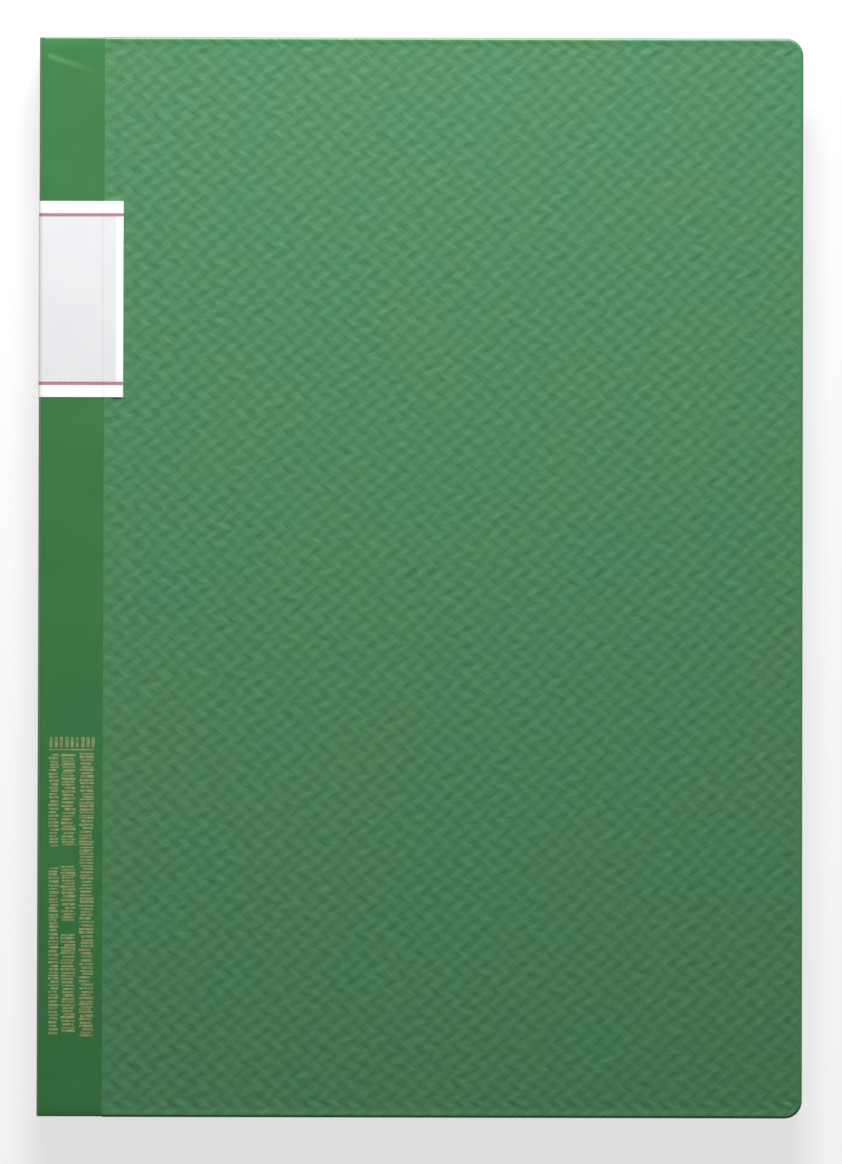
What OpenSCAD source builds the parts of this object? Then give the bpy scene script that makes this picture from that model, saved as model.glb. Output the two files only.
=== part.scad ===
// Stamp album. A quarter-bound case: greyboard covers in embossed paper sidings,
// a cloth spine strip, a paper label round the spine, and eight black card
// leaves with clear pocket strips on both sides, hung on linen hinges.
// The closed album lies on its back cover. +X is the fore-edge, +Y the head,
// +Z up; the spine is on the -X side. Millimetres.

/* [Cover] */
// Width of the closed album from spine to fore-edge, label included
cover_w = 182; // [160:1:230]
// Height of the closed album from tail to head
cover_h = 257; // [220:1:320]
// Radius of the two fore-edge corners of each cover
corner_r = 4.2; // [2:0.2:8]
// Thickness of the greyboard
board_t = 1.8; // [1.2:0.1:3]
// Thickness of the embossed siding over its peaks
siding_t = 0.3; // [0.25:0.05:0.5]
// Width of the siding and cloth turned in over the board edges
turnin_w = 14; // [8:1:20]
// Thickness of the pastedown glued inside each cover
pastedown_t = 0.15; // [0.1:0.05:0.25]
// Distance from the cover edge to the pastedown
pastedown_inset = 4; // [3:0.5:6]

/* [Spine] */
// Width of cloth strip left showing on each cover
cloth_w = 15.5; // [12:0.5:30]
// Thickness of the spine cloth
cloth_t = 0.15; // [0.1:0.05:0.2]
// Width of cloth hidden under the siding
cloth_lap = 3; // [2:0.5:6]
// Thickness of the stiffener inside the spine
stiffener_t = 1; // [0.6:0.1:1.4]

/* [Label] */
// Height of the label along the spine
label_h = 46; // [30:1:60]
// Distance from the head down to the label
label_drop = 39.2; // [20:0.2:60]
// Length of the label flap on the front cover
label_front_w = 20.2; // [17:0.2:32]
// Length of the label flap on the back cover
label_back_w = 13.5; // [6:0.5:15]
// Thickness of the label paper
label_t = 0.1; // [0.05:0.05:0.1]

/* [Leaves] */
// Thickness of the black card of one leaf
card_t = 0.4; // [0.3:0.05:0.6]
// Distance from the cover's fore-edge to the leaf edge
leaf_inset_x = 3.5; // [2:0.5:8]
// Distance from the cover's head and tail to the leaf edge
leaf_inset_y = 4; // [2:0.5:8]
// Radius of the fore-edge corners of a leaf
leaf_corner_r = 3.5; // [1:0.5:6]
// Thickness of a glassine interleaf
interleaf_t = 0.06; // [0.04:0.01:0.1]
// Free gap left above and below each interleaf
leaf_gap = 0.1; // [0.08:0.02:0.3]
// Free gap between the outer leaves and the covers
pile_gap = 0.25; // [0.2:0.05:0.6]

/* [Pocket strips] */
// Height of one clear strip
strip_h = 23; // [14:1:26]
// Thickness of one clear strip with its pocket
strip_t = 0.12; // [0.1:0.01:0.16]
// Thickness of the film over the pocket
film_t = 0.07; // [0.05:0.01:0.08]
// Width of the weld along the foot and the ends of a strip
weld_w = 1.5; // [1:0.5:3]
// Distance from the leaf's hinge edge to the strips
strip_start = 14; // [13:1:24]
// Distance from the leaf's fore-edge to the strips
strip_end = 4; // [3:0.5:10]
// Margin below the lowest strip
strip_foot = 6; // [4:1:12]

/* [Hinges] */
// Width of linen glued to the card
linen_glued_w = 12; // [8:0.5:12]
// Width of linen standing out past the card
linen_free_w = 1; // [0.5:0.1:1.5]
// Distance from the common turning line to the leaf edge
turn_r = 2.3; // [2:0.1:2.6]

/* [Hidden] */
$fn = 64;
leaf_count = 8;
strip_rows = 7;
// Outermost faces
fore_x = cover_w / 2;
head_y = cover_h / 2;
spine_x = -cover_w / 2 + label_t;
// Step from the siding face down to the cloth face
cloth_step = siding_t - cloth_t;
// Cover build-up: siding, board, turn-in, pastedown
turnin_t = cloth_t;
board_z = siding_t;
turnin_z = board_z + board_t;
paste_z = turnin_z + turnin_t;
cover_t = paste_z + pastedown_t;
// Clearances that let the folds turn
cloth_fold = 0.1;
board_fold = 0.25;
label_fold = 0.1;
spine_fold = 0.3;
// Lines across the cover
cloth_edge_x = spine_x + cloth_w;
cloth_start_x = spine_x + cloth_t + cloth_fold;
board_start_x = spine_x + cloth_t + board_fold;
paste_start_x = board_start_x + 2;
// Leaf pile
leaf_t = card_t + 2 * strip_t;
leaf_pitch = leaf_t + interleaf_t + 2 * leaf_gap;
pile_t = leaf_count * leaf_t + (leaf_count - 1) * (leaf_pitch - leaf_t);
total_t = 2 * (cover_t + pile_gap) + pile_t;
// Line all leaves turn about
turn_x = spine_x + total_t / 2;
leaf_start_x = turn_x + turn_r;
leaf_end_x = fore_x - leaf_inset_x;
leaf_half_h = head_y - leaf_inset_y;
interleaf_start_x = leaf_start_x - 0.5;
interleaf_trim = 1.5;
// Strip rows
strip_x = leaf_start_x + strip_start;
strip_w = leaf_end_x - strip_end - strip_x;
strip_pitch = (2 * leaf_half_h - strip_foot) / strip_rows;
// Spine strip, from outside to inside
stiffener_x = spine_x + cloth_t;
lining_x = stiffener_x + stiffener_t;
root_x = lining_x + turnin_t;
root_w = 0.6;
root_h = 0.2;
spine_z = cover_t + spine_fold;
spine_h = total_t - 2 * spine_z;
// Room past a face that a cut must clear
cut = 2;

green = [0.2, 0.45, 0.27];
deep_green = [0.16, 0.41, 0.24];
grey_board = [0.55, 0.52, 0.47];
white = [0.93, 0.93, 0.92];
black = [0.06, 0.06, 0.065];
clear = [0.85, 0.92, 0.95, 0.35];
linen = [0.12, 0.12, 0.12];
glassine = [0.93, 0.93, 0.88, 0.5];

// ---- Flat outlines ----

// Sheet from x0 to x1, half height hy, rounded at the fore-edge
module sheet_outline(x0, x1, hy, r) {
    translate([x0, -hy])
        square([x1 - x0 - r, 2 * hy]);
    translate([x0, -hy + r])
        square([x1 - x0, 2 * (hy - r)]);
    for (side = [-1, 1])
        translate([x1 - r, side * (hy - r)])
            circle(r);
}

// The same sheet as a slab from z to z + t
module slab(x0, x1, hy, r, z, t) {
    translate([0, 0, z])
        linear_extrude(t)
            sheet_outline(x0, x1, hy, r);
}

// Block centred on y = 0
module block(x0, x1, hy, z0, z1) {
    translate([x0, -hy, z0])
        cube([x1 - x0, 2 * hy, z1 - z0]);
}

// ---- Cover pieces, drawn as the back cover with its outside at z = 0 ----

module board_slab(x0) {
    slab(x0, fore_x - siding_t, head_y - siding_t, corner_r - siding_t, board_z, board_t);
}

// Opening left between the turn-ins on the inside of the board
module turnin_opening(x0, z0, shrink) {
    block(x0, fore_x - turnin_w - shrink, head_y - turnin_w - shrink, z0, cover_t + cut);
}

module siding_shell() {
    difference() {
        slab(cloth_edge_x, fore_x, head_y, corner_r, 0, paste_z);
        board_slab(cloth_edge_x - cut);
        turnin_opening(cloth_edge_x - cut, turnin_z, 0);
        block(cloth_edge_x - cut, cloth_edge_x + cloth_lap, head_y - cloth_step,
              cloth_step, paste_z + cut);
    }
}

module cover_cloth() {
    difference() {
        block(cloth_start_x, cloth_edge_x + cloth_lap, head_y - cloth_step,
              cloth_step, paste_z);
        board_slab(cloth_start_x - cut);
        turnin_opening(cloth_start_x - cut, turnin_z, 0);
    }
}

// Sheet glued over the board and the turn-ins, stepped where the turn-ins end
module pastedown_sheet() {
    difference() {
        slab(paste_start_x, fore_x - pastedown_inset, head_y - pastedown_inset, 1,
             turnin_z, turnin_t + pastedown_t);
        difference() {
            block(paste_start_x - cut, fore_x, head_y, turnin_z - cut, paste_z);
            turnin_opening(paste_start_x - 2 * cut, turnin_z - 2 * cut, 0);
        }
        turnin_opening(paste_start_x - cut, turnin_z + pastedown_t, pastedown_t);
    }
}

// Turns a back-cover piece into the front-cover one
module to_front() {
    translate([0, 0, total_t])
        mirror([0, 0, 1])
            children();
}

// ---- Spine pieces ----

module spine_cloth_strip() {
    difference() {
        union() {
            block(spine_x, spine_x + cloth_t, head_y - cloth_step,
                  cloth_step + cloth_fold, total_t - cloth_step - cloth_fold);
            block(spine_x, root_x, head_y - cloth_step, spine_z, spine_z + spine_h);
        }
        block(stiffener_x, lining_x, head_y - siding_t,
              spine_z - cut, spine_z + spine_h + cut);
        block(stiffener_x, root_x + cut, head_y - turnin_w,
              spine_z - cut, spine_z + spine_h + cut);
    }
}

// Flat label flap glued to the cloth of a cover
module label_flap(x1) {
    translate([spine_x + label_fold, head_y - label_drop - label_h, cloth_step - label_t])
        cube([x1 - spine_x - label_fold, label_h, label_t]);
}

// Part of the front flap that climbs onto the siding
module label_over_siding() {
    label_y = head_y - label_drop - label_h;
    translate([cloth_edge_x - label_t, label_y, -label_t])
        cube([label_t, label_h, cloth_step + label_t]);
    translate([cloth_edge_x - label_t, label_y, -label_t])
        cube([spine_x - label_t + label_front_w - cloth_edge_x + label_t, label_h, label_t]);
}

// ---- Leaf pieces; leaf 1 lies under the front cover ----

// Underside of the card of leaf k
function card_z(k) = cover_t + pile_gap + strip_t + (leaf_count - k) * leaf_pitch;

module leaf_card(k) {
    slab(leaf_start_x, leaf_end_x, leaf_half_h, leaf_corner_r, card_z(k), card_t);
}

// One strip lying on z = 0: film on top, pocket under it, open at the head
module pocket_strip() {
    difference() {
        cube([strip_w, strip_h, strip_t]);
        translate([weld_w, weld_w, -cut])
            cube([strip_w - 2 * weld_w, strip_h, strip_t - film_t + cut]);
    }
}

module strip_set() {
    for (row = [0 : strip_rows - 1])
        translate([strip_x, -leaf_half_h + strip_foot + row * strip_pitch, 0])
            pocket_strip();
}

module recto_strips(k) {
    translate([0, 0, card_z(k) + card_t])
        strip_set();
}

module verso_strips(k) {
    translate([0, 0, card_z(k)])
        mirror([0, 0, 1])
            strip_set();
}

// Linen strip along the hinge edge, on the recto of the card
module linen_strip(k) {
    block(leaf_start_x - linen_free_w, leaf_start_x + linen_glued_w, leaf_half_h,
          card_z(k) + card_t, card_z(k) + card_t + strip_t);
}

// Interleaf k lies between leaf k and leaf k + 1
module interleaf_sheet(k) {
    slab(interleaf_start_x, leaf_end_x - interleaf_trim, leaf_half_h - interleaf_trim,
         leaf_corner_r, card_z(k) - strip_t - leaf_gap - interleaf_t, interleaf_t);
}

// ---- Nodes ----

module front_siding() {
    color(green)
        to_front()
            siding_shell();
}

module front_board() {
    color(grey_board)
        to_front()
            board_slab(board_start_x);
}

module front_pastedown() {
    color(black)
        to_front()
            pastedown_sheet();
}

module back_siding() {
    color(green)
        siding_shell();
}

module back_board() {
    color(grey_board)
        board_slab(board_start_x);
}

module back_pastedown() {
    color(black)
        pastedown_sheet();
}

module spine_cloth_front() {
    color(deep_green)
        to_front()
            cover_cloth();
}

module spine_cloth_spine() {
    color(deep_green)
        spine_cloth_strip();
}

module spine_cloth_back() {
    color(deep_green)
        cover_cloth();
}

module spine_stiffener() {
    color(grey_board)
        block(stiffener_x, lining_x, head_y - siding_t, spine_z, spine_z + spine_h);
}

module spine_lining() {
    color(black)
        block(lining_x, root_x, head_y - turnin_w, spine_z, spine_z + spine_h);
}

module label_front() {
    color(white)
        to_front() {
            label_flap(cloth_edge_x);
            label_over_siding();
        }
}

module label_spine() {
    color(white)
        translate([spine_x - label_t, head_y - label_drop - label_h, cloth_step + label_fold])
            cube([label_t, label_h, total_t - 2 * (cloth_step + label_fold)]);
}

module label_back() {
    color(white)
        label_flap(spine_x + label_back_w);
}

// Glued foot of every linen hinge on the spine lining
module hinge_roots() {
    color(linen)
        for (k = [1 : leaf_count])
            block(root_x, root_x + root_w, leaf_half_h,
                  card_z(k) + (card_t - root_h) / 2, card_z(k) + (card_t + root_h) / 2);
}

module leaf_1() { color(black) leaf_card(1); }
module leaf_2() { color(black) leaf_card(2); }
module leaf_3() { color(black) leaf_card(3); }
module leaf_4() { color(black) leaf_card(4); }
module leaf_5() { color(black) leaf_card(5); }
module leaf_6() { color(black) leaf_card(6); }
module leaf_7() { color(black) leaf_card(7); }
module leaf_8() { color(black) leaf_card(8); }

module hinge_linen_1() { color(linen) linen_strip(1); }
module hinge_linen_2() { color(linen) linen_strip(2); }
module hinge_linen_3() { color(linen) linen_strip(3); }
module hinge_linen_4() { color(linen) linen_strip(4); }
module hinge_linen_5() { color(linen) linen_strip(5); }
module hinge_linen_6() { color(linen) linen_strip(6); }
module hinge_linen_7() { color(linen) linen_strip(7); }
module hinge_linen_8() { color(linen) linen_strip(8); }

module strips_recto_1() { color(clear) recto_strips(1); }
module strips_recto_2() { color(clear) recto_strips(2); }
module strips_recto_3() { color(clear) recto_strips(3); }
module strips_recto_4() { color(clear) recto_strips(4); }
module strips_recto_5() { color(clear) recto_strips(5); }
module strips_recto_6() { color(clear) recto_strips(6); }
module strips_recto_7() { color(clear) recto_strips(7); }
module strips_recto_8() { color(clear) recto_strips(8); }

module strips_verso_1() { color(clear) verso_strips(1); }
module strips_verso_2() { color(clear) verso_strips(2); }
module strips_verso_3() { color(clear) verso_strips(3); }
module strips_verso_4() { color(clear) verso_strips(4); }
module strips_verso_5() { color(clear) verso_strips(5); }
module strips_verso_6() { color(clear) verso_strips(6); }
module strips_verso_7() { color(clear) verso_strips(7); }
module strips_verso_8() { color(clear) verso_strips(8); }

module interleaf_1() { color(glassine) interleaf_sheet(1); }
module interleaf_2() { color(glassine) interleaf_sheet(2); }
module interleaf_3() { color(glassine) interleaf_sheet(3); }
module interleaf_4() { color(glassine) interleaf_sheet(4); }
module interleaf_5() { color(glassine) interleaf_sheet(5); }
module interleaf_6() { color(glassine) interleaf_sheet(6); }
module interleaf_7() { color(glassine) interleaf_sheet(7); }

front_siding();
front_board();
front_pastedown();
back_siding();
back_board();
back_pastedown();
spine_cloth_front();
spine_cloth_spine();
spine_cloth_back();
spine_stiffener();
spine_lining();
label_front();
label_spine();
label_back();
hinge_roots();
leaf_1();
leaf_2();
leaf_3();
leaf_4();
leaf_5();
leaf_6();
leaf_7();
leaf_8();
hinge_linen_1();
hinge_linen_2();
hinge_linen_3();
hinge_linen_4();
hinge_linen_5();
hinge_linen_6();
hinge_linen_7();
hinge_linen_8();
strips_recto_1();
strips_recto_2();
strips_recto_3();
strips_recto_4();
strips_recto_5();
strips_recto_6();
strips_recto_7();
strips_recto_8();
strips_verso_1();
strips_verso_2();
strips_verso_3();
strips_verso_4();
strips_verso_5();
strips_verso_6();
strips_verso_7();
strips_verso_8();
interleaf_1();
interleaf_2();
interleaf_3();
interleaf_4();
interleaf_5();
interleaf_6();
interleaf_7();
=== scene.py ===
"""Stamp album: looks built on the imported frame. Metres, Z up, +Y head, spine at -X."""
import math

import bmesh
import bpy
import numpy as np
from mathutils import Matrix, Vector


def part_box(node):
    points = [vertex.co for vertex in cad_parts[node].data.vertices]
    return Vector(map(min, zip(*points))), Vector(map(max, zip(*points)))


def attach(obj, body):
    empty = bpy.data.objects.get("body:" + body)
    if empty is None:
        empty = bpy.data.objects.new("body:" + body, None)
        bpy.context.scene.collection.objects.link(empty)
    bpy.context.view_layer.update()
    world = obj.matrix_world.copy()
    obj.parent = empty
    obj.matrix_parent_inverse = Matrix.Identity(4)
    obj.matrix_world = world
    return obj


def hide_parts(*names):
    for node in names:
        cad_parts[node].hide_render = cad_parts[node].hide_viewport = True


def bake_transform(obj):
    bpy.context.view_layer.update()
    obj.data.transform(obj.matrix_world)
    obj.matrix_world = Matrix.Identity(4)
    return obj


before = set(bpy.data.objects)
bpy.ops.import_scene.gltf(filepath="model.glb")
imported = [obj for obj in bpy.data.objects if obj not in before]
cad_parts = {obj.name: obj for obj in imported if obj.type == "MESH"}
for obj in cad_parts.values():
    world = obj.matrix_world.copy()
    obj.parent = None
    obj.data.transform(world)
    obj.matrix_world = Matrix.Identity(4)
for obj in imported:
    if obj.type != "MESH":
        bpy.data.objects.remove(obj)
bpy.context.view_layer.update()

MM = 0.001
rng = np.random.RandomState(20)


def mm_box(node):
    """Lowest and highest corner of a CAD node in millimetres."""
    low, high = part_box(node)
    return np.array(low) / MM, np.array(high) / MM


# ---- Measures taken from the CAD frame, in millimetres ----
siding_lo, siding_hi = mm_box("front_siding")
board_lo, board_hi = mm_box("front_board")
lining_lo, lining_hi = mm_box("spine_lining")
label_lo, label_hi = mm_box("label_front")
label_back_end = mm_box("label_back")[1][0]
cloth_hi = mm_box("spine_cloth_front")[1]
stiff_top = mm_box("spine_stiffener")[1][2]

TOP = siding_hi[2]
EDGE_X = siding_lo[0]
FORE_X = siding_hi[0]
HEAD_Y = siding_hi[1]
SPINE_X = mm_box("spine_cloth_spine")[0][0]
CLOTH_TOP = cloth_hi[2]
CLOTH_HEAD = cloth_hi[1]
COVER_IN = siding_lo[2]
BOARD_IN = board_lo[2]
BOARD_OUT = board_hi[2]
MIDDLE = TOP / 2
CORNER_R = 4.2
TURNIN = 14.0
LEAVES = 8

# ---- Small helpers ----


def collect(name, verts, faces, uv=None, smooth_angle=35):
    """A mesh object from millimetre vertices, with smooth faces and sharp creases."""
    mesh = bpy.data.meshes.new(name)
    mesh.from_pydata((np.asarray(verts, float) * MM).tolist(), [], faces)
    if uv is not None:
        layer = mesh.uv_layers.new(name="UVMap")
        index = np.zeros(len(mesh.loops), np.int32)
        mesh.loops.foreach_get("vertex_index", index)
        layer.data.foreach_set("uv", (np.asarray(uv, float) * MM)[index].astype(np.float32).ravel())
    obj = bpy.data.objects.new(name, mesh)
    bpy.context.scene.collection.objects.link(obj)
    mesh.validate()
    smooth(obj, smooth_angle)
    return obj


def smooth(obj, angle):
    """Smooth shading with a crease where faces meet at more than angle degrees."""
    obj.data.shade_smooth()
    obj.data.set_sharp_from_angle(angle=math.radians(angle))


def clean(obj, merge=0.002):
    """Merges points closer than merge millimetres, drops empty faces and turns the faces outward."""
    bm = bmesh.new()
    bm.from_mesh(obj.data)
    bmesh.ops.remove_doubles(bm, verts=bm.verts, dist=merge * MM)
    bmesh.ops.dissolve_degenerate(bm, edges=bm.edges, dist=merge * MM * 0.5)
    bmesh.ops.recalc_face_normals(bm, faces=bm.faces)
    bm.to_mesh(obj.data)
    bm.free()


def thicken(obj, thickness):
    """Gives a sheet its thickness, inward from its outer face, and applies it."""
    solid = obj.modifiers.new("thickness", "SOLIDIFY")
    solid.thickness = thickness * MM
    solid.offset = -1
    graph = bpy.context.evaluated_depsgraph_get()
    mesh = bpy.data.meshes.new_from_object(obj.evaluated_get(graph))
    obj.modifiers.clear()
    obj.data = mesh


def dress(obj, material):
    """Gives a piece its one material."""
    obj.data.materials.clear()
    obj.data.materials.append(material)
    return obj


def ease(t):
    """0 to 1 with soft ends as t goes from 0 to 1."""
    t = np.clip(t, 0, 1)
    return t * t * (3 - 2 * t)


# ---- Shader graph helper ----


class Graph:
    """Short forms for building one material's nodes."""

    def __init__(self, name):
        self.material = bpy.data.materials.new(name)
        self.material.use_nodes = True
        self.tree = self.material.node_tree
        self.tree.nodes.clear()
        self.out = self.tree.nodes.new("ShaderNodeOutputMaterial")

    def node(self, kind, **settings):
        made = self.tree.nodes.new(kind)
        for key, value in settings.items():
            setattr(made, key, value)
        return made

    def link(self, source, target):
        self.tree.links.new(source, target)

    def put(self, target, value):
        """Links a socket or sets a plain value."""
        if isinstance(value, bpy.types.NodeSocket):
            self.link(value, target)
        else:
            target.default_value = value

    def math(self, operation, a, b=0.0, clamp=False):
        made = self.node("ShaderNodeMath", operation=operation, use_clamp=clamp)
        self.put(made.inputs[0], a)
        self.put(made.inputs[1], b)
        return made.outputs[0]

    def remap(self, value, low, high, to_low=0.0, to_high=1.0):
        made = self.node("ShaderNodeMapRange", interpolation_type="SMOOTHSTEP")
        for target, given in zip(made.inputs[:5], (value, low, high, to_low, to_high)):
            self.put(target, given)
        return made.outputs[0]

    def mix(self, factor, a, b):
        made = self.node("ShaderNodeMix", data_type="RGBA")
        self.put(made.inputs["Factor"], factor)
        self.put(made.inputs[6], a if isinstance(a, bpy.types.NodeSocket) else (*a, 1))
        self.put(made.inputs[7], b if isinstance(b, bpy.types.NodeSocket) else (*b, 1))
        return made.outputs[2]

    def coords(self, which="Object"):
        return self.node("ShaderNodeTexCoord").outputs[which]

    def split(self, vector):
        made = self.node("ShaderNodeSeparateXYZ")
        self.link(vector, made.inputs[0])
        return made.outputs

    def noise(self, vector, scale, detail=3.0, rough=0.55):
        made = self.node("ShaderNodeTexNoise")
        self.link(vector, made.inputs["Vector"])
        made.inputs["Scale"].default_value = scale
        made.inputs["Detail"].default_value = detail
        made.inputs["Roughness"].default_value = rough
        return made.outputs["Fac"]

    def bump(self, height, distance, strength=1.0):
        made = self.node("ShaderNodeBump")
        made.inputs["Distance"].default_value = distance
        made.inputs["Strength"].default_value = strength
        self.link(height, made.inputs["Height"])
        return made.outputs["Normal"]

    def surface(self, **inputs):
        shader = self.node("ShaderNodeBsdfPrincipled")
        for key, value in inputs.items():
            name = key.replace("_", " ")
            if name == "Base Color" and not isinstance(value, bpy.types.NodeSocket):
                value = (*value, 1)
            self.put(shader.inputs[name], value)
        self.link(shader.outputs[0], self.out.inputs[0])
        return shader


# ---- The embossed pattern: rows of short slanted ribs, leaning left and right in turn ----
CELL_X, CELL_Y = 4.50, 4.43  # the repeat of the pattern
RELIEF = 0.29  # from the ribs' tops to the valleys
EDGE_DEPTH = 0.03  # at the cover's edges, where the pattern fades out
WANDER, WANDER_CELL = 0.8, 4.2  # how far the ribs stray, and over what length
PATCH_CELL = 11.0
GRID = 0.73  # spacing of the mesh points
LABEL_DROP = 0.7  # the label's tail end is this much below the CAD label's
PRESS_EDGE = 0.6  # the pattern comes back within this of the label

LABEL_HALF = (label_hi[1] - label_lo[1] + LABEL_DROP) / 2
LABEL_MIDDLE = (label_hi[1] + label_lo[1] - LABEL_DROP) / 2

# Random values on a coarse mesh over the cover, and one pair for each rib and row
wander_x = rng.uniform(-1, 1, (64, 80))
wander_y = rng.uniform(-1, 1, (64, 80))
patch_random = rng.uniform(0.85, 1.0, (64, 80))
stroke_depth = rng.uniform(0.72, 1.0, (256, 256))
stroke_shift = rng.uniform(-0.14, 0.14, (256, 256))


def blend_table(table, x, y, cell):
    """A table of random values spread over the cover, one every cell millimetres, and eased between."""
    u, v = (x + FORE_X + 9) / cell, (y + HEAD_Y + 11.5) / cell
    i, j = np.floor(u).astype(int), np.floor(v).astype(int)
    fu, fv = ease(u - i), ease(v - j)
    a, b = table[i, j], table[i + 1, j]
    c, d = table[i, j + 1], table[i + 1, j + 1]
    return (a * (1 - fu) + b * fu) * (1 - fv) + (c * (1 - fu) + d * fu) * fv


def relief(x, y, labelled):
    """Depth below the siding's outer face, in millimetres. The paper is pressed flat under the label."""
    past_side = x - label_hi[0]
    past_end = np.abs(y - LABEL_MIDDLE) - LABEL_HALF
    pressed = ease(1 - past_side / PRESS_EDGE) * ease(1 - past_end / PRESS_EDGE) * labelled
    edge = np.minimum.reduce([FORE_X - x, HEAD_Y - np.abs(y), (x - EDGE_X) * 1.5 + 0.3])
    fade = ease((edge - 0.4) / 1.6)
    patch = blend_table(patch_random, x, y, PATCH_CELL)
    x, y = (x + WANDER * blend_table(wander_x, x, y, WANDER_CELL),
            y + WANDER * blend_table(wander_y, x, y, WANDER_CELL))
    rows = 2 * y / CELL_Y
    row = np.floor(rows)
    down_row = rows - row
    lean = np.where(row % 2 == 0, down_row, 1 - down_row) * CELL_X / 2
    stroke = 2 * (x - lean) / CELL_X
    rib = np.floor(stroke + 0.5)
    off = stroke - rib
    side = np.where(rib % 2 == 0, 1.0, -1.0)
    i, j = rib.astype(int) % 256, row.astype(int) % 256
    off = off + stroke_shift[i, j] * (1 - 2 * np.abs(off))
    swell = np.cos(np.pi * np.clip(off, -0.5, 0.5)) ** 0.6
    taper = 0.68 + 0.32 * ease(np.minimum(down_row, 1 - down_row) / 0.3)
    height = 0.5 + 0.5 * side * swell * taper * stroke_depth[i, j] * patch
    height = height + (0.95 - height) * pressed
    return RELIEF * (1 - height) * fade + EDGE_DEPTH * (1 - fade)


# ---- Covers ----


def siding_piece(name, back):
    """Embossed paper over one cover: relief face, rolled edges, turn-ins, closed underside."""
    # The flat middle of the face reaches to where the corners' curves start
    xmax, ymax = FORE_X - CORNER_R, HEAD_Y - CORNER_R
    nx = int(round((xmax - EDGE_X) / GRID))
    ny = int(round(2 * ymax / GRID))
    gx, gy = np.meshgrid(np.linspace(EDGE_X, xmax, nx + 1), np.linspace(-ymax, ymax, ny + 1), indexing="ij")
    verts = np.stack([gx, gy, TOP - relief(gx, gy, not back)], -1).reshape(-1, 3)
    index = np.arange((nx + 1) * (ny + 1)).reshape(nx + 1, ny + 1)
    quads = np.stack([index[:-1, :-1], index[1:, :-1], index[1:, 1:], index[:-1, 1:]], -1)
    faces = quads.reshape(-1, 4).tolist()
    # The border runs along the tail, the fore-edge and the head, and fans out at the two corners
    fan = 10
    roll, lower = 0.7, 0.25
    turn = [math.pi / 2 * k / fan for k in range(1, fan)]
    rim = [(index[i, 0], (0, -1)) for i in range(nx + 1)]
    rim += [(index[nx, 0], (math.sin(a), -math.cos(a))) for a in turn]
    rim += [(index[nx, j], (1, 0)) for j in range(ny + 1)]
    rim += [(index[nx, ny], (math.cos(a), math.sin(a))) for a in turn]
    rim += [(index[i, ny], (0, 1)) for i in range(nx, -1, -1)]
    border = np.array([point for point, _ in rim])
    normal = np.array([way for _, way in rim])
    base = verts[border][:, :2]
    # Rings from the border outward and round the cover: how each is found, how far out, how high
    profile = [("relief", 0.58 * k, 0) for k in range(1, 6)]
    for k in range(0, 7):
        a = math.pi / 2 * k / 6
        back_in, down = roll * (1 - math.sin(a)), roll * (1 - math.cos(a))
        profile.append(("flat", CORNER_R - back_in, TOP - EDGE_DEPTH - down))
    profile.append(("flat", CORNER_R, (TOP + COVER_IN) / 2 - 0.2))
    for k in range(0, 4):
        a = math.pi / 2 * k / 3
        profile.append(("flat", CORNER_R - lower * (1 - math.cos(a)), COVER_IN + lower * (1 - math.sin(a))))
    profile += [("flat", o, COVER_IN) for o in (2.8, 1.4, 0, -3, CORNER_R - TURNIN + 0.1)]
    profile += [("flat", CORNER_R - TURNIN, COVER_IN + 0.05), ("flat", CORNER_R - TURNIN, BOARD_IN)]
    profile += [("flat", CORNER_R - 0.35, BOARD_IN), ("flat", CORNER_R - 0.28, BOARD_IN + 0.1),
                ("flat", CORNER_R - 0.28, BOARD_OUT - 0.1), ("flat", CORNER_R - 0.5, BOARD_OUT - 0.01),
                ("flat", 0, BOARD_OUT - 0.01)]
    rings = [border]
    parts = [verts]
    count = len(verts)
    for kind, o, z in profile:
        if o >= 0:
            xy = base + normal * o
        else:
            xy = np.stack([np.minimum(base[:, 0], xmax + o), np.clip(base[:, 1], -ymax - o, ymax + o)], -1)
        embossed = kind == "relief"
        height = TOP - relief(xy[:, 0], xy[:, 1], not back) if embossed else np.full(len(xy), z)
        parts.append(np.column_stack([xy, height]))
        rings.append(np.arange(count, count + len(xy)))
        count += len(xy)
    for inner, outer in zip(rings[:-1], rings[1:]):
        for a, b, c, d in zip(inner[:-1], inner[1:], outer[1:], outer[:-1]):
            corner = []
            for v in (int(a), int(d), int(c), int(b)):
                if v not in corner:
                    corner.append(v)
            if len(corner) > 2:
                faces.append(corner)
    last = rings[-1].tolist()
    faces.append(last)
    faces.append([int(r[0]) for r in rings])
    faces.append([int(r[-1]) for r in rings][::-1])
    faces.append(index[0, :].tolist() + [last[-1], last[0]])
    verts = np.concatenate(parts)
    if back:
        verts[:, 2] = TOP - verts[:, 2]
    obj = collect(name, verts, faces)
    clean(obj)
    smooth(obj, 50)
    return obj


# ---- Sheets that follow a path in the X-Z plane and run along Y ----


def path_frames(path):
    """Lengths along a path of (x, z) points, and its unit normal on the right-hand side."""
    path = np.asarray(path, float)
    step = np.diff(path, axis=0)
    length = np.concatenate([[0], np.cumsum(np.hypot(*step.T))])
    tangent = np.gradient(path, axis=0)
    tangent /= np.hypot(*tangent.T)[:, None]
    return path, length, np.stack([tangent[:, 1], -tangent[:, 0]], -1)


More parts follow.
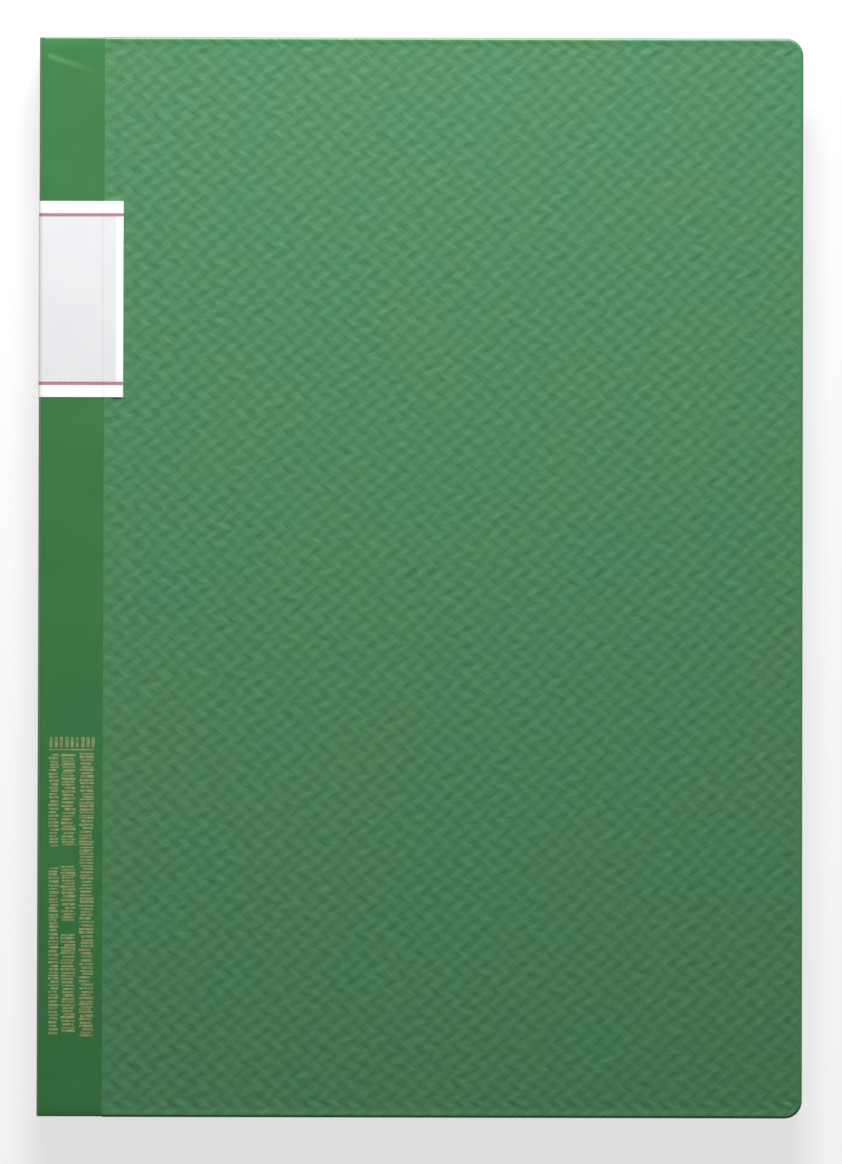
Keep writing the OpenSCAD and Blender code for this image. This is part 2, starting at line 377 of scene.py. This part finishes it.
def sweep(name, path, rows, uv_start=0.0, thickness=0.1):
    """rows(k) gives for path point k the list of (y, depth) of one cross line; depth runs inward.

    In the UV map, u is the way along the path and v the way from the middle of the cross line.
    """
    path, length, inward = path_frames(path)
    verts, uv = [], []
    for k in range(len(path)):
        cross = np.array(rows(k))
        run = np.concatenate([[0], np.cumsum(np.hypot(*np.diff(cross, axis=0).T))])
        for (y, depth), v in zip(cross, run - run[-1] / 2):
            verts.append((path[k, 0] + inward[k, 0] * depth, y, path[k, 1] + inward[k, 1] * depth))
            uv.append((uv_start + length[k], v))
    width = len(rows(0))
    faces = []
    for k in range(len(path) - 1):
        for m in range(width - 1):
            a = k * width + m
            faces.append((a, a + width, a + width + 1, a + 1))
    obj = collect(name, verts, faces, uv)
    thicken(obj, thickness)
    smooth(obj, 35)
    return obj


def arc(cx, cz, r, start, end, steps):
    """Points on an arc in the X-Z plane, angles in degrees from +X towards +Z."""
    return [(cx + r * math.cos(math.radians(a)), cz + r * math.sin(math.radians(a)))
            for a in np.linspace(start, end, steps)]


def line(a, b, steps):
    """Evenly spaced points from a to b."""
    return [tuple(np.array(a) + (np.array(b) - np.array(a)) * t) for t in np.linspace(0, 1, steps)]


def join(*runs):
    """Runs of points put end to end without doubled points."""
    points = []
    for run in runs:
        for p in run:
            if not points or math.hypot(p[0] - points[-1][0], p[1] - points[-1][1]) > 1e-4:
                points.append(p)
    return points


def flip_z(obj):
    """Turns an upper-half piece into the lower-half one."""
    for v in obj.data.vertices:
        v.co.z = TOP * MM - v.co.z
    obj.data.flip_normals()


FOLD_R = 1.0
CLOTH_T = 0.12
PINCH = 0.45  # depth of the turned-in cloth at a fold, where it has to bend
UNDER = 0.16  # how far the cloth drops where the siding covers it
OVERLAP = 2.8  # how far it reaches under the siding
UV_BACK = 60.0  # keeps the crease off the back half


def cloth_rows(path):
    """Cross lines of the spine cloth: over the faces, round the head and tail, and turned in."""
    stiff_depth = lining_hi[0] - SPINE_X
    cover_depth = CLOTH_TOP - COVER_IN

    def rows(k):
        x, z = path[k]
        if x < SPINE_X + FOLD_R and z < CLOTH_TOP - 0.01:
            t = ease((z - (stiff_top - 0.6)) / 1.4)
            depth = stiff_depth + (PINCH - stiff_depth) * t
        else:
            t = ease((x - SPINE_X - FOLD_R + 0.1) / 0.6)
            depth = PINCH + (cover_depth - PINCH) * t
        r = min(0.4, depth * 0.45)
        end = CLOTH_HEAD
        quarter = np.linspace(0, math.pi / 2, 5)
        edge = [(end - r + r * math.sin(a), r * (1 - math.cos(a))) for a in quarter]
        edge += [(end - r * (1 - math.cos(a)), depth - r + r * math.sin(a)) for a in quarter]
        edge += [(end - back, depth) for back in (2.5, 6, 10, TURNIN - 0.15)]
        main = [(y, 0.0) for y in np.linspace(-end + 3, end - 3, 44)]
        tail = [(-y, d) for y, d in edge][::-1]
        return tail + main + edge

    return rows


def cloth_piece(name, lower):
    """Half of the spine cloth, from the middle of the spine over a fold and under the siding."""
    path = join(line((SPINE_X, MIDDLE), (SPINE_X, CLOTH_TOP - FOLD_R), 10),
                arc(SPINE_X + FOLD_R, CLOTH_TOP - FOLD_R, FOLD_R, 180, 90, 9),
                line((SPINE_X + FOLD_R, CLOTH_TOP), (EDGE_X - 0.1, CLOTH_TOP), 30),
                line((EDGE_X - 0.1, CLOTH_TOP), (EDGE_X + 0.3, CLOTH_TOP - UNDER), 3),
                line((EDGE_X + 0.3, CLOTH_TOP - UNDER), (EDGE_X + OVERLAP, CLOTH_TOP - UNDER), 5))
    obj = sweep(name, path, cloth_rows(path), thickness=CLOTH_T, uv_start=-UV_BACK if lower else 0.0)
    if lower:
        flip_z(obj)
    return obj


LABEL_T = 0.08
LABEL_OUT = 0.09  # its outer face is this far off the cloth
LABEL_MARGIN, LABEL_END_MARGIN = 3.27, 1.7  # from the ends to the rules, and beside the panel
RULE_HALF = 0.42


def label_piece(name, lower, end_x):
    """Half of the paper label, lying on the cloth and, in front, up onto the siding."""
    outside = SPINE_X - LABEL_OUT
    face, raised = CLOTH_TOP + LABEL_OUT, TOP + LABEL_T
    path = join(line((outside, MIDDLE), (outside, CLOTH_TOP - FOLD_R), 10),
                arc(SPINE_X + FOLD_R, CLOTH_TOP - FOLD_R, FOLD_R + LABEL_OUT, 180, 90, 9))
    if end_x > EDGE_X:
        step = [(EDGE_X - 0.6 + 0.1 * k, face + (raised - face) * float(ease(k / 7))) for k in range(8)]
        path = join(path, line((SPINE_X + FOLD_R, face), (EDGE_X - 0.9, face), 20),
                    step, line((EDGE_X + 0.2, raised), (end_x, raised), 12))
    else:
        path = join(path, line((SPINE_X + FOLD_R, face), (end_x, face), 16))
    ys = np.linspace(label_lo[1] - LABEL_DROP, label_hi[1], 24)
    length = path_frames(path)[1][-1]
    obj = sweep(name, path, lambda k: [(y, 0.0) for y in ys], uv_start=-length, thickness=LABEL_T)
    if lower:
        flip_z(obj)
    return obj


LINING_GAP = 0.05  # off the spine and the cover, so that it doesn't lie in their faces


def joint_piece(name, lower):
    """Inner lining: on the spine's inside, across the joint and onto the board's inside."""
    x = lining_hi[0] + LINING_GAP
    face = COVER_IN - LINING_GAP
    r = 0.35
    path = join(line((x, MIDDLE), (x, face - r), 12),
                arc(x + r, face - r, r, 180, 90, 6),
                line((x + r, face), (SPINE_X + 13, face), 12))
    ys = np.linspace(lining_lo[1] + 0.6, lining_hi[1] - 0.6, 30)
    obj = sweep(name, path, lambda k: [(y, 0.0) for y in ys], thickness=0.08)
    if lower:
        flip_z(obj)
    return obj


def hinge_piece(name, k):
    """Linen hinge of leaf k: a foot on the spine lining, the free linen, the glued strip.

    Also gives where the bend starts and ends, as (x, z).
    """
    low, high = mm_box(f"hinge_linen_{k}")
    card_lo, card_hi = mm_box(f"leaf_{k}")
    mid = (card_lo[2] + card_hi[2]) / 2
    free = mid + 0.05
    foot = lining_hi[0] + 0.13
    top = high[2]
    rise = [(low[0] - 0.4 + 1.2 * t, free + (top - free) * float(ease(t))) for t in np.linspace(0, 1, 7)]
    path = join([(foot, mid + 0.26), (foot + 0.02, mid + 0.14), (foot + 0.08, mid + 0.07)],
                line((foot + 0.2, free), (low[0] - 0.4, free), 14), rise,
                line((low[0] + 0.8, top), (high[0], top), 8))
    ys = np.linspace(low[1], high[1], 32)
    obj = sweep(name, path, lambda k: [(y, 0.0) for y in ys], thickness=0.1)
    return obj, (foot + 0.4, mid), (low[0] + 0.6, mid)


def strips_piece(name, node, up):
    """The clear strips of one side of a leaf: welded foot and ends, pocket, lip at the head."""
    low, high = mm_box(node)
    rows = 7
    strip_h = 23.0
    pitch = (high[1] - low[1] - strip_h) / (rows - 1)
    full, film = high[2] - low[2], 0.07
    u = np.concatenate([[0, 0.5, 1.0, 1.5, 2.0, 3.0], np.linspace(6, high[0] - low[0] - 6, 18),
                        high[0] - low[0] - np.array([3.0, 2.0, 1.5, 1.0, 0.5, 0])])
    v = np.array([0, 0.5, 1.0, 1.5, 2.0, 3.0, 6.0, 11.0, 16.0, 20.0, 22.2, 22.6, strip_h])
    uu, vv = np.meshgrid(u, v, indexing="ij")
    inside = np.minimum.reduce([uu, (high[0] - low[0]) - uu, vv])
    lift = ease((inside - 1.0) / 1.0)
    weld = 0.012 * np.cos(inside / 1.0 * 2 * np.pi) * (inside < 1.0)
    outer = film + (full - film) * lift + weld - 0.012
    under = np.maximum(outer - film, 0.001)
    n, m = len(u), len(v)
    verts, faces, uvs = [], [], []
    for row in range(rows):
        y0 = low[1] + row * pitch
        start = len(verts)
        for sheet in (outer, under):
            for i in range(n):
                for j in range(m):
                    z = low[2] + sheet[i, j] if up else high[2] - sheet[i, j]
                    verts.append((low[0] + u[i], y0 + v[j], z))
                    uvs.append((u[i], v[j]))
        size = n * m
        for i in range(n - 1):
            for j in range(m - 1):
                a = start + i * m + j
                faces.append((a, a + m, a + m + 1, a + 1))
                faces.append((a + size, a + size + 1, a + size + m + 1, a + size + m))
        rim = [i * m for i in range(n)] + [(n - 1) * m + j for j in range(1, m)]
        rim += [i * m + m - 1 for i in range(n - 2, -1, -1)] + [j for j in range(m - 2, 0, -1)]
        for a, b in zip(rim, rim[1:] + rim[:1]):
            faces.append((start + a, start + a + size, start + b + size, start + b))
    obj = collect(name, verts, faces, uvs)
    clean(obj, merge=0.0005)
    smooth(obj, 40)
    return obj


def foil_piece(name):
    """Gold stamping on the cloth: a ruled heading and three columns of short bars, no lettering."""
    low, high, bevel = CLOTH_TOP - 0.005, CLOTH_TOP + 0.014, 0.02
    # Each bar: from and to across the cloth from the spine, and from and to down from the head
    bars = [(at, at + rng.uniform(0.6, 0.85), 166.8, 169.2) for at in np.arange(2.9, 13.0, 1.25)]
    bars.append((2.8, 13.4, 169.6, 169.95))
    # Each column: its two sides, and the runs down it that have bars
    columns = [(2.7, 5.2, [(170.8, 193.0), (197.8, 238.0)]),
               (5.6, 9.2, [(170.8, 193.2), (197.4, 210.8), (213.6, 237.6)]),
               (10.0, 13.5, [(170.6, 238.1)])]
    for left, right, runs in columns:
        for start, end in runs:
            at = start
            while at < end - 0.5:
                size = rng.uniform(0.34, 0.62)
                span = (right - left) * rng.uniform(0.7, 1.0)
                x0 = left + (right - left - span) * rng.uniform(0, 1)
                bars.append((x0, x0 + span, at, at + size))
                at += size + rng.uniform(0.16, 0.42)
    verts, faces = [], []
    for left, right, start, end in bars:
        x0, x1, y0, y1 = SPINE_X + left, SPINE_X + right, HEAD_Y - end, HEAD_Y - start
        s = len(verts)
        for z, inset in ((low, 0), (high, bevel)):
            verts.extend([(x0 + inset, y0 + inset, z), (x1 - inset, y0 + inset, z),
                          (x1 - inset, y1 - inset, z), (x0 + inset, y1 - inset, z)])
        faces.extend([(s, s + 3, s + 2, s + 1), (s + 4, s + 5, s + 6, s + 7)])
        faces.extend([(s + a, s + (a + 1) % 4, s + (a + 1) % 4 + 4, s + a + 4) for a in range(4)])
    return collect(name, verts, faces)


# ---- Materials ----
THREAD_LENGTH, THREAD_WIDTH = 2.6, 0.85
FACE_U = CLOTH_TOP - FOLD_R - MIDDLE + FOLD_R * math.pi / 2 - FOLD_R
CREASE_IN, CREASE_DOWN, CREASE_RUN = 1.8, 4.5, 13.0
CREASE_FALL, CREASE_HALF = 0.33, 1.3


def siding_material():
    """Green embossed paper: two near greens in patches, and fine threads inside the pressed ribs, with
    painted shade where the threads lie low.
    """
    g = Graph("siding_paper")
    where = g.coords()
    x, y, _ = g.split(where)
    # The threads lean the same way as the ribs of each row
    rising, falling = g.math("ADD", x, y), g.math("SUBTRACT", x, y)
    threads = []
    for along, across in ((rising, falling), (falling, rising)):
        at = g.node("ShaderNodeCombineXYZ")
        g.link(g.math("DIVIDE", along, 1.41 * THREAD_LENGTH * MM), at.inputs[0])
        g.link(g.math("DIVIDE", across, 1.41 * THREAD_WIDTH * MM), at.inputs[1])
        threads.append(g.noise(at.outputs[0], 1.0, 1.0))
    turn = g.math("SINE", g.math("MULTIPLY", y, 2 * math.pi / (CELL_Y * MM)))
    share = g.remap(turn, -0.5, 0.5)
    swing = g.math("SUBTRACT", threads[0], threads[1])
    thread = g.math("ADD", threads[1], g.math("MULTIPLY", swing, share))
    fibre = g.noise(where, 2600, 4.0, 0.6)
    patch = g.noise(where, 45, 2.0)
    base = g.mix(g.remap(patch, 0.35, 0.65), (0.070, 0.213, 0.086), (0.062, 0.213, 0.097))
    # Painted shade: the paper is up to 12% darker where the fine threads lie low in the bump.
    tint = g.mix(g.remap(thread, 0.3, 0.7), g.mix(0.12, base, (0.030, 0.120, 0.045)), base)
    rough = g.remap(fibre, 0.3, 0.7, 0.40, 0.48)
    height = g.math("ADD", thread, g.math("MULTIPLY", fibre, 0.12))
    g.surface(Base_Color=tint, Roughness=rough, Normal=g.bump(height, 0.00007), Specular_IOR_Level=0.4)
    return g.material


def cloth_material():
    """Smooth green book cloth with a fine even weave and one faint crease near the head, with painted
    highlights on the weave's raised threads and along the crease.
    """
    g = Graph("spine_cloth")
    uv = g.coords("UV")
    u, v, _ = g.split(uv)
    pitch = 0.00052
    wave = g.math("MULTIPLY", g.math("SINE", g.math("MULTIPLY", u, 2 * math.pi / pitch)),
                  g.math("SINE", g.math("MULTIPLY", v, 2 * math.pi / pitch)))
    slub = g.noise(uv, 900, 3.0)
    patch = g.noise(uv, 60, 3.0)
    height = g.math("ADD", g.math("MULTIPLY", wave, 0.35), slub)
    # The crease slants down; it is a wrinkle in the bump with a painted highlight, brightest at its spine
    # end and gone before the siding
    across = g.math("SUBTRACT", u, (FACE_U + CREASE_IN) * MM)
    middle = g.math("SUBTRACT", (CLOTH_HEAD - CREASE_DOWN) * MM, g.math("MULTIPLY", across, CREASE_FALL))
    gap = g.math("ABSOLUTE", g.math("SUBTRACT", v, middle))
    mark = g.math("SUBTRACT", 1.0, g.remap(gap, 0.0, CREASE_HALF * MM))
    ends = g.math("MULTIPLY", g.remap(across, -0.5 * MM, 0.8 * MM),
                  g.remap(across, 2 * MM, CREASE_RUN * MM, 1.0, 0.0))
    crease_and_highlight = g.math("MULTIPLY", mark, ends)
    base = g.mix(g.remap(patch, 0.3, 0.7), (0.031, 0.155, 0.043), (0.037, 0.169, 0.050))
    # Painted highlight: the weave's raised threads are up to 14% lighter.
    cloth_with_highlights = g.mix(g.remap(wave, -1.0, 1.0, 0.0, 0.14), base, (0.050, 0.200, 0.066))
    # Painted highlight along the crease, which is also raised in the bump.
    cloth_with_highlights = g.mix(g.math("MULTIPLY", crease_and_highlight, 0.45), cloth_with_highlights, (0.11, 0.33, 0.11))
    rough = g.remap(slub, 0.3, 0.7, 0.40, 0.50)
    raised = g.math("ADD", height, g.math("MULTIPLY", crease_and_highlight, 3.0))
    g.surface(Base_Color=cloth_with_highlights, Roughness=rough, Normal=g.bump(raised, 0.00003, 0.5),
              Specular_IOR_Level=0.35, Sheen_Weight=0.04)
    return g.material


def label_material():
    """White paper with a pale grey panel between two thin crimson rules."""
    g = Graph("label_paper")
    _, y, _ = g.split(g.coords())
    uv = g.coords("UV")
    u, _, _ = g.split(uv)
    fibre = g.noise(uv, 1500, 4.0, 0.65)
    cloud = g.noise(uv, 90, 3.0)
    rule_at = (LABEL_HALF - LABEL_MARGIN) * MM
    off = g.math("ABSOLUTE", g.math("SUBTRACT", y, LABEL_MIDDLE * MM))
    inside = g.math("MULTIPLY", g.math("LESS_THAN", off, rule_at),
                    g.math("LESS_THAN", u, -LABEL_END_MARGIN * MM))
    panel = g.mix(g.remap(cloud, 0.3, 0.7), (0.650, 0.658, 0.675), (0.675, 0.680, 0.695))
    paper = g.mix(inside, (0.84, 0.845, 0.835), panel)
    paper = g.mix(g.remap(fibre, 0.3, 0.75, 0.0, 0.18), paper, (0.74, 0.73, 0.75))
    gap = g.math("ABSOLUTE", g.math("SUBTRACT", off, rule_at))
    rule = g.math("SUBTRACT", 1.0, g.remap(gap, RULE_HALF * 0.7 * MM, RULE_HALF * 1.3 * MM))
    ink = g.math("MULTIPLY", rule, g.remap(fibre, 0.2, 0.8, 0.95, 0.8))
    colour = g.mix(ink, paper, (0.36, 0.105, 0.145))
    g.surface(Base_Color=colour, Roughness=g.remap(fibre, 0.3, 0.7, 0.5, 0.62),
              Normal=g.bump(fibre, 0.00001, 0.4), Specular_IOR_Level=0.3)
    return g.material


def foil_material():
    """Dull olive-gold foil, worn in places."""
    g = Graph("gold_foil")
    where = g.coords()
    grain = g.noise(where, 4000, 3.0)
    wear = g.noise(where, 900, 2.0)
    colour = g.mix(g.remap(wear, 0.35, 0.7), (0.20, 0.255, 0.085), (0.34, 0.40, 0.175))
    g.surface(Base_Color=colour, Metallic=0.2, Roughness=g.remap(grain, 0.3, 0.7, 0.38, 0.55),
              Normal=g.bump(grain, 0.00001, 0.5))
    return g.material


def sheet_material(name, dark, light, scale, rough=(0.7, 0.85), grain=1800, bump=0.00002):
    """Paper or board: cloudy colour, fibres in roughness and bump."""
    g = Graph(name)
    where = g.coords()
    fibre = g.noise(where, grain, 5.0, 0.65)
    cloud = g.noise(where, scale, 3.0)
    mixed = g.math("ADD", g.math("MULTIPLY", fibre, 0.6), g.math("MULTIPLY", cloud, 0.4))
    colour = g.mix(g.remap(mixed, 0.3, 0.7), dark, light)
    g.surface(Base_Color=colour, Roughness=g.remap(fibre, 0.3, 0.7, *rough),
              Normal=g.bump(fibre, bump, 0.6))
    return g.material


def linen_material():
    """Black linen with an open plain weave."""
    g = Graph("hinge_linen")
    uv = g.coords("UV")
    u, v, _ = g.split(uv)
    pitch = 0.0009
    warp = g.math("ABSOLUTE", g.math("SINE", g.math("MULTIPLY", u, math.pi / pitch * 2)))
    weft = g.math("ABSOLUTE", g.math("SINE", g.math("MULTIPLY", v, math.pi / pitch * 2)))
    weave = g.math("MAXIMUM", warp, weft)
    slub = g.noise(uv, 1200, 3.0)
    colour = g.mix(g.remap(weave, 0.5, 1.0), (0.010, 0.010, 0.011), (0.035, 0.035, 0.037))
    height = g.math("ADD", weave, g.math("MULTIPLY", slub, 0.5))
    g.surface(Base_Color=colour, Roughness=g.remap(slub, 0.3, 0.7, 0.75, 0.9), Sheen_Weight=0.25,
              Normal=g.bump(height, 0.00006, 0.8))
    return g.material


def film_material():
    """Clear film: mostly see-through, with a soft gloss that grows at grazing angles."""
    g = Graph("clear_film")
    where = g.coords()
    haze = g.noise(where, 120, 3.0)
    clear = g.node("ShaderNodeBsdfTransparent")
    clear.inputs[0].default_value = (0.93, 0.95, 0.96, 1)
    gloss = g.node("ShaderNodeBsdfPrincipled")
    gloss.inputs["Base Color"].default_value = (0.85, 0.9, 0.93, 1)
    gloss.inputs["IOR"].default_value = 1.5
    g.link(g.remap(haze, 0.3, 0.7, 0.08, 0.16), gloss.inputs["Roughness"])
    g.link(g.bump(haze, 0.0001, 0.25), gloss.inputs["Normal"])
    weight = g.node("ShaderNodeFresnel")
    weight.inputs[0].default_value = 1.5
    amount = g.math("ADD", weight.outputs[0], 0.05, clamp=True)
    both = g.node("ShaderNodeMixShader")
    g.link(amount, both.inputs[0])
    g.link(clear.outputs[0], both.inputs[1])
    g.link(gloss.outputs[0], both.inputs[2])
    g.link(both.outputs[0], g.out.inputs[0])
    return g.material


def glassine_material():
    """Cloudy, half see-through paper."""
    g = Graph("glassine")
    where = g.coords()
    cloud = g.noise(where, 70, 4.0)
    fibre = g.noise(where, 1400, 4.0, 0.6)
    clear = g.node("ShaderNodeBsdfTransparent")
    paper = g.node("ShaderNodeBsdfPrincipled")
    tint = g.mix(g.remap(cloud, 0.3, 0.7), (0.80, 0.79, 0.72), (0.88, 0.87, 0.81))
    g.link(tint, paper.inputs["Base Color"])
    g.link(g.remap(fibre, 0.3, 0.7, 0.3, 0.42), paper.inputs["Roughness"])
    g.link(g.bump(cloud, 0.0004, 0.3), paper.inputs["Normal"])
    both = g.node("ShaderNodeMixShader")
    g.link(g.remap(cloud, 0.3, 0.7, 0.55, 0.68), both.inputs[0])
    g.link(clear.outputs[0], both.inputs[1])
    g.link(paper.outputs[0], both.inputs[2])
    g.link(both.outputs[0], g.out.inputs[0])
    return g.material


siding_mat = siding_material()
cloth_mat = cloth_material()
label_mat = label_material()
foil_mat = foil_material()
board_mat = sheet_material("greyboard", (0.20, 0.175, 0.145), (0.30, 0.27, 0.23), 300,
                           rough=(0.85, 0.95), grain=900, bump=0.00008)
endpaper_mat = sheet_material("endpaper", (0.006, 0.006, 0.007), (0.014, 0.014, 0.016), 40)
card_mat = sheet_material("black_card", (0.007, 0.007, 0.008), (0.016, 0.016, 0.018), 60)
linen_mat = linen_material()
film_mat = film_material()
glassine_mat = glassine_material()

for name, node, body, back in (("siding_front", "front_siding", "front_cover", False),
                               ("siding_back", "back_siding", "back_cover", True)):
    piece = dress(siding_piece(name, back), siding_mat)
    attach(piece, body)
    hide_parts(node)


def bends(x, z, down, along):
    """Where the stretch between the spine and a cover starts and ends, for the front and the back: down
    long on the spine and along long on the cover.
    """
    on_spine, on_cover = (x, z - down), (x + along, z)
    front = [(at * MM, 0, height * MM) for at, height in (on_spine, on_cover)]
    back = [(at * MM, 0, (TOP - height) * MM) for at, height in (on_cover, on_spine)]
    return ("spine", "front_cover", *front), ("back_cover", "spine", *back)


FRONT, BACK = bends(SPINE_X, CLOTH_TOP, 0.5, 1.1)
# The inner lining's stretch is taken at its own corner
JOINT_FRONT, JOINT_BACK = bends(lining_hi[0] + LINING_GAP, COVER_IN - LINING_GAP, 0.9, 0.9)

cloth_front = cloth_piece("cloth_front", False)
cloth_back = cloth_piece("cloth_back", True)
label_front = label_piece("label_paper_front", False, label_hi[0])
label_back = label_piece("label_paper_back", True, label_back_end)
joint_front = joint_piece("joint_lining_front", False)
joint_back = joint_piece("joint_lining_back", True)
for piece, material, slot_name, where, nodes in (
        (cloth_front, cloth_mat, "spine_cloth", FRONT, ("spine_cloth_front", "spine_cloth_spine")),
        (cloth_back, cloth_mat, "spine_cloth", BACK, ("spine_cloth_back", "spine_cloth_spine")),
        (label_front, label_mat, "label_paper", FRONT, ("label_front", "label_spine")),
        (label_back, label_mat, "label_paper", BACK, ("label_back", "label_spine")),
        (joint_front, endpaper_mat, "endpaper", JOINT_FRONT, ("spine_lining",)),
        (joint_back, endpaper_mat, "endpaper", JOINT_BACK, ("spine_lining",))):
    dress(piece, material)
    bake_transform(piece)
    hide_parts(*nodes)

foil = dress(foil_piece("gold_ticks"), foil_mat)
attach(foil, "front_cover")

for k in range(1, LEAVES + 1):
    body = f"leaf_{k}_body"
    hinge, start, end = hinge_piece(f"linen_{k}", k)
    dress(hinge, linen_mat)
    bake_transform(hinge)
    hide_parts(f"hinge_linen_{k}", "hinge_roots")
    for side, up in (("recto", True), ("verso", False)):
        films = strips_piece(f"films_{side}_{k}", f"strips_{side}_{k}", up)
        dress(films, film_mat)
        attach(films, body)
        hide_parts(f"strips_{side}_{k}")

node_materials = {"front_board": board_mat, "back_board": board_mat, "spine_stiffener": board_mat,
                  "front_pastedown": endpaper_mat, "back_pastedown": endpaper_mat}
for k in range(1, LEAVES + 1):
    node_materials[f"leaf_{k}"] = card_mat
    if k < LEAVES:
        node_materials[f"interleaf_{k}"] = glassine_mat
for node, material in node_materials.items():
    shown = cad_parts[node]
    shown.data.materials.clear()
    shown.data.materials.append(material)

# ---- Floor, lights, camera ----
FLOOR_HALF, FLOOR_Z = 4000, -0.05


def floor_material():
    """A grey backdrop that glows, so that it is near white and the album's shadow stays faint."""
    g = Graph("floor")
    tone = g.noise(g.coords(), 3.0, 2.0)
    colour = g.mix(g.remap(tone, 0.3, 0.7), (0.20, 0.20, 0.20), (0.21, 0.21, 0.21))
    g.surface(Base_Color=colour, Roughness=0.9, Emission_Color=(1.0, 1.0, 1.0, 1), Emission_Strength=0.71)
    return g.material


corners = [(x * FLOOR_HALF, y * FLOOR_HALF, FLOOR_Z) for x, y in ((-1, -1), (1, -1), (1, 1), (-1, 1))]
floor = collect("floor", corners, [(0, 1, 2, 3)])
floor.data.materials.append(floor_material())

world = bpy.data.worlds.new("studio")
bpy.context.scene.world = world
world.use_nodes = True
background = world.node_tree.nodes["Background"]
background.inputs["Color"].default_value = (1.0, 1.0, 1.0, 1)
background.inputs["Strength"].default_value = 0.09


def area_light(name, place, target, size, power, spread):
    """A rectangular lamp at place, turned to target, that the camera doesn't see."""
    data = bpy.data.lights.new(name, "AREA")
    data.shape = "RECTANGLE"
    data.size, data.size_y = size
    data.energy = power
    data.spread = math.radians(spread)
    lamp = bpy.data.objects.new(name, data)
    bpy.context.scene.collection.objects.link(lamp)
    lamp.location = place
    lamp.rotation_mode = "QUATERNION"
    lamp.rotation_quaternion = (Vector(target) - Vector(place)).to_track_quat("-Z", "Y")
    lamp.visible_camera = False


# Low and from the head only, which brings out both slants of the embossing alike
area_light("key", place=(0.0, 0.86, 0.46), target=(-0.09, 0.10, TOP * MM), size=(0.4, 0.2),
           power=8.85, spread=120)

bpy.context.scene.view_settings.view_transform = "Standard"
bpy.context.scene.view_settings.look = "None"

DISTANCE = 1.5
VISIBLE_H = 0.2768  # height of the picture at the front cover
SENSOR = 36  # millimetres
TILT = math.radians(0.9)
ROLL = math.radians(0.14)
AIM_X, AIM_Y = 0.0002, -0.0012
camera_data = bpy.data.cameras.new("camera")
camera = bpy.data.objects.new("camera", camera_data)
bpy.context.scene.collection.objects.link(camera)
camera_data.sensor_width = SENSOR
camera_data.lens = SENSOR * DISTANCE / VISIBLE_H
camera_data.clip_start, camera_data.clip_end = 0.05, 50
aim = Vector((AIM_X, AIM_Y, TOP * MM))
forward = Vector((0, math.sin(TILT), -math.cos(TILT)))
right = forward.cross(Vector((-math.sin(ROLL), math.cos(ROLL), 0))).normalized()
up = right.cross(forward)
place = aim - forward * DISTANCE
camera.matrix_world = Matrix(((right.x, up.x, -forward.x, place.x),
                              (right.y, up.y, -forward.y, place.y),
                              (right.z, up.z, -forward.z, place.z),
                              (0, 0, 0, 1)))
bpy.context.scene.camera = camera
